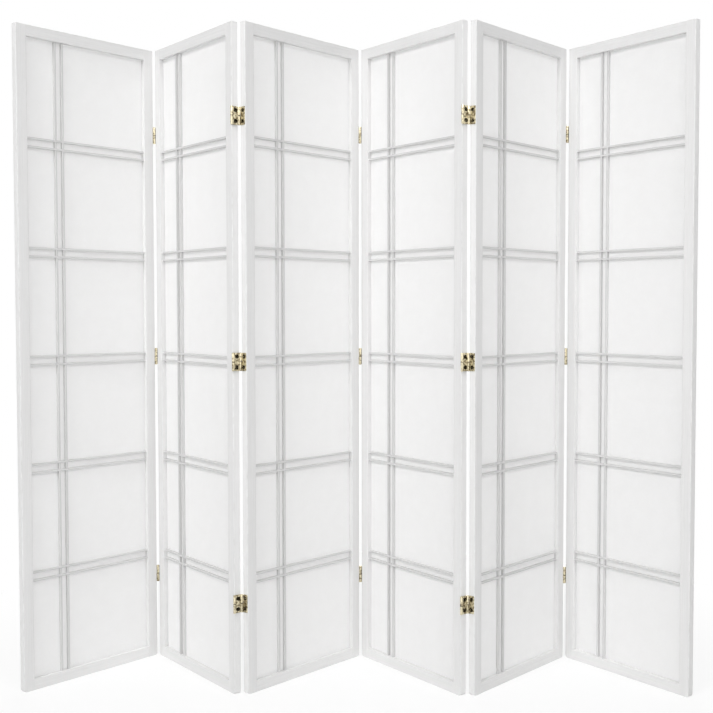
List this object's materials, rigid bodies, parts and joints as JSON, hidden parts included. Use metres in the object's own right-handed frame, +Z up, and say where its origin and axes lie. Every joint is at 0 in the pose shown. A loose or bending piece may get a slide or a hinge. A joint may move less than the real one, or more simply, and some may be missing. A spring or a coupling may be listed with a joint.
{
  "type": "partition screen",
  "caption": "Free-standing folding room divider: framed paper panels with a barred lattice, joined edge to edge by two-way brass hinges so that it folds either way.",
  "frame": {"origin": "centre of the screen's footprint as it stands in its zigzag, on the floor", "axes": "+X along the line of the screen, to the right of someone who looks at the lattice side; +Y away from that person; +Z up"},
  "size_m": [1.8028, 0.3724, 1.784],
  "materials": {
    "painted_frame": "satin white paint over faint grain",
    "painted_lattice": "satin white paint",
    "screen_paper": "matt translucent white paper with faint fibres",
    "hinge_brass": "bright brass plate"
  },
  "bodies": {
    "panel_1": {"panel_1_left_stile": "painted_frame", "panel_1_right_stile": "painted_frame", "panel_1_top_rail": "painted_frame", "panel_1_bottom_rail": "painted_frame", "panel_1_lattice": "painted_lattice", "panel_1_paper": "screen_paper", "panel_1_hinge_screws": "hinge_brass", "hinge_1_left_leaves": "hinge_brass"},
    "link_1": {"hinge_1_links": "hinge_brass"},
    "panel_2": {"panel_2_left_stile": "painted_frame", "panel_2_right_stile": "painted_frame", "panel_2_top_rail": "painted_frame", "panel_2_bottom_rail": "painted_frame", "panel_2_lattice": "painted_lattice", "panel_2_paper": "screen_paper", "panel_2_hinge_screws": "hinge_brass", "hinge_1_right_leaves": "hinge_brass", "hinge_2_left_leaves": "hinge_brass"},
    "link_2": {"hinge_2_links": "hinge_brass"},
    "panel_3": {"panel_3_left_stile": "painted_frame", "panel_3_right_stile": "painted_frame", "panel_3_top_rail": "painted_frame", "panel_3_bottom_rail": "painted_frame", "panel_3_lattice": "painted_lattice", "panel_3_paper": "screen_paper", "panel_3_hinge_screws": "hinge_brass", "hinge_2_right_leaves": "hinge_brass", "hinge_3_left_leaves": "hinge_brass"},
    "link_3": {"hinge_3_links": "hinge_brass"},
    "panel_4": {"panel_4_left_stile": "painted_frame", "panel_4_right_stile": "painted_frame", "panel_4_top_rail": "painted_frame", "panel_4_bottom_rail": "painted_frame", "panel_4_lattice": "painted_lattice", "panel_4_paper": "screen_paper", "panel_4_hinge_screws": "hinge_brass", "hinge_3_right_leaves": "hinge_brass", "hinge_4_left_leaves": "hinge_brass"},
    "link_4": {"hinge_4_links": "hinge_brass"},
    "panel_5": {"panel_5_left_stile": "painted_frame", "panel_5_right_stile": "painted_frame", "panel_5_top_rail": "painted_frame", "panel_5_bottom_rail": "painted_frame", "panel_5_lattice": "painted_lattice", "panel_5_paper": "screen_paper", "panel_5_hinge_screws": "hinge_brass", "hinge_4_right_leaves": "hinge_brass", "hinge_5_left_leaves": "hinge_brass"},
    "link_5": {"hinge_5_links": "hinge_brass"},
    "panel_6": {"panel_6_left_stile": "painted_frame", "panel_6_right_stile": "painted_frame", "panel_6_top_rail": "painted_frame", "panel_6_bottom_rail": "painted_frame", "panel_6_lattice": "painted_lattice", "panel_6_paper": "screen_paper", "panel_6_hinge_screws": "hinge_brass", "hinge_5_right_leaves": "hinge_brass"}
  },
  "joints": [
    {"name": "hinge_1_front_pin", "type": "hinge", "parent": "link_1", "child": "panel_1", "pos_m": [-0.60373, 0.16891, 0.892], "axis": [0, 0, -1], "range_deg": [-78, 102]},
    {"name": "hinge_1_back_pin", "type": "hinge", "parent": "panel_2", "child": "link_1", "pos_m": [-0.58663, 0.18275, 0.892], "axis": [0, 0, -1], "range_deg": [0, 180]},
    {"name": "hinge_2_front_pin", "type": "hinge", "parent": "link_2", "child": "panel_2", "pos_m": [-0.31896, -0.18275, 0.892], "axis": [0, 0, 1], "range_deg": [0, 180]},
    {"name": "hinge_2_back_pin", "type": "hinge", "parent": "panel_3", "child": "link_2", "pos_m": [-0.30186, -0.16891, 0.892], "axis": [0, 0, 1], "range_deg": [-78, 102]},
    {"name": "hinge_3_front_pin", "type": "hinge", "parent": "panel_3", "child": "link_3", "pos_m": [0, 0.16891, 0.892], "axis": [0, 0, 1], "range_deg": [-78, 102]},
    {"name": "hinge_3_back_pin", "type": "hinge", "parent": "link_3", "child": "panel_4", "pos_m": [0.0171, 0.18275, 0.892], "axis": [0, 0, 1], "range_deg": [0, 175]},
    {"name": "hinge_4_front_pin", "type": "hinge", "parent": "panel_4", "child": "link_4", "pos_m": [0.28477, -0.18275, 0.892], "axis": [0, 0, -1], "range_deg": [0, 180]},
    {"name": "hinge_4_back_pin", "type": "hinge", "parent": "link_4", "child": "panel_5", "pos_m": [0.30186, -0.16891, 0.892], "axis": [0, 0, -1], "range_deg": [-78, 102]},
    {"name": "hinge_5_front_pin", "type": "hinge", "parent": "panel_5", "child": "link_5", "pos_m": [0.60373, 0.16891, 0.892], "axis": [0, 0, 1], "range_deg": [-78, 102]},
    {"name": "hinge_5_back_pin", "type": "hinge", "parent": "link_5", "child": "panel_6", "pos_m": [0.62083, 0.18275, 0.892], "axis": [0, 0, 1], "range_deg": [0, 180]}
  ]
}
